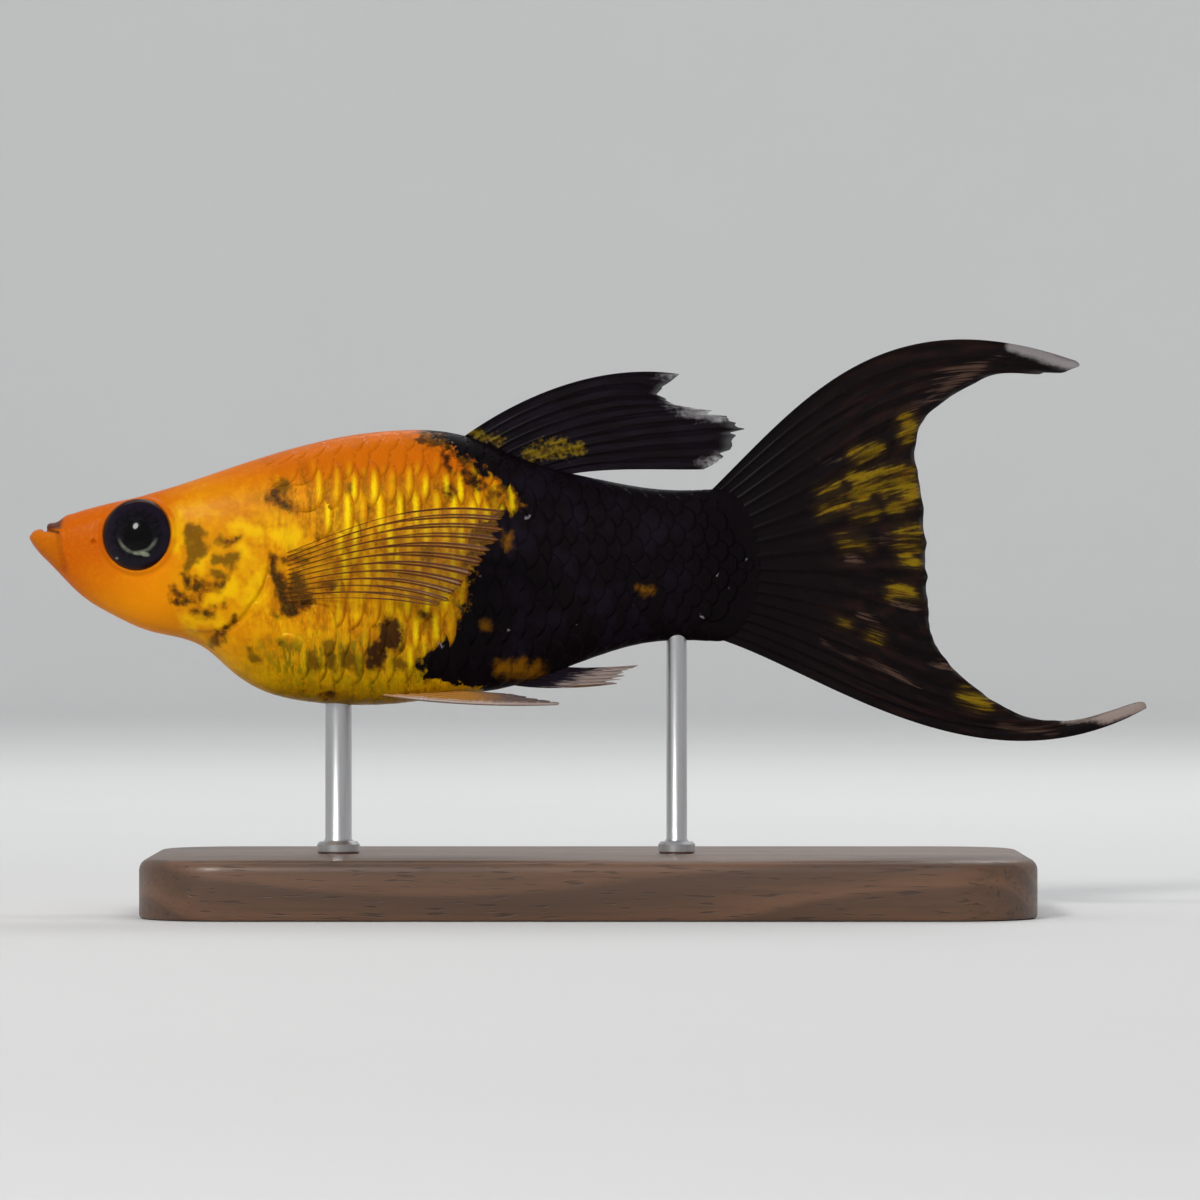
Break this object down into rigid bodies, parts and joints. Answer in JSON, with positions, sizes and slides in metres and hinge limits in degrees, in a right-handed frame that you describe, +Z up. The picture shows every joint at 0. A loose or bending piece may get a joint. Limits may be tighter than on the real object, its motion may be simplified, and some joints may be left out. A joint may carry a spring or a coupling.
{
  "type": "gold dust tuxedo molly",
  "caption": "Still life-size model of a gold dust tuxedo molly: orange and gold front, black rear, swept dorsal and lyre tail, held level on a plain display stand.",
  "frame": {"origin": "centre of the underside of the stand's base", "axes": "+Z up, the fish's head towards -X, its left flank towards -Y"},
  "size_m": [0.076, 0.03, 0.039],
  "materials": {
    "orange_skin": "smooth moist skin",
    "gold_skin": "fine glossy scales",
    "black_skin": "fine glossy scales",
    "dark_fin": "thin rayed membrane",
    "clear_fin": "thin clear rayed membrane",
    "pale_fin": "thin pale rayed membrane",
    "eye_dark": "wet gloss",
    "rod_steel": "brushed",
    "base_wood": "oiled dark wood"
  },
  "bodies": {
    "root": {"head": "orange_skin", "lower_jaw": "orange_skin", "gill_cover_left": "gold_skin", "gill_cover_right": "gold_skin", "eye_left": "eye_dark", "eye_right": "eye_dark", "trunk": "gold_skin", "tail_stalk": "black_skin", "dorsal_fin": "dark_fin", "caudal_fin_upper": "dark_fin", "caudal_fin_middle": "dark_fin", "caudal_fin_lower": "dark_fin", "anal_fin": "dark_fin", "pectoral_fin_left": "clear_fin", "pectoral_fin_right": "clear_fin", "pelvic_fin_left": "pale_fin", "pelvic_fin_right": "pale_fin", "stand_base": "base_wood", "stand_rod_front": "rod_steel", "stand_rod_rear": "rod_steel"}
  },
  "joints": []
}
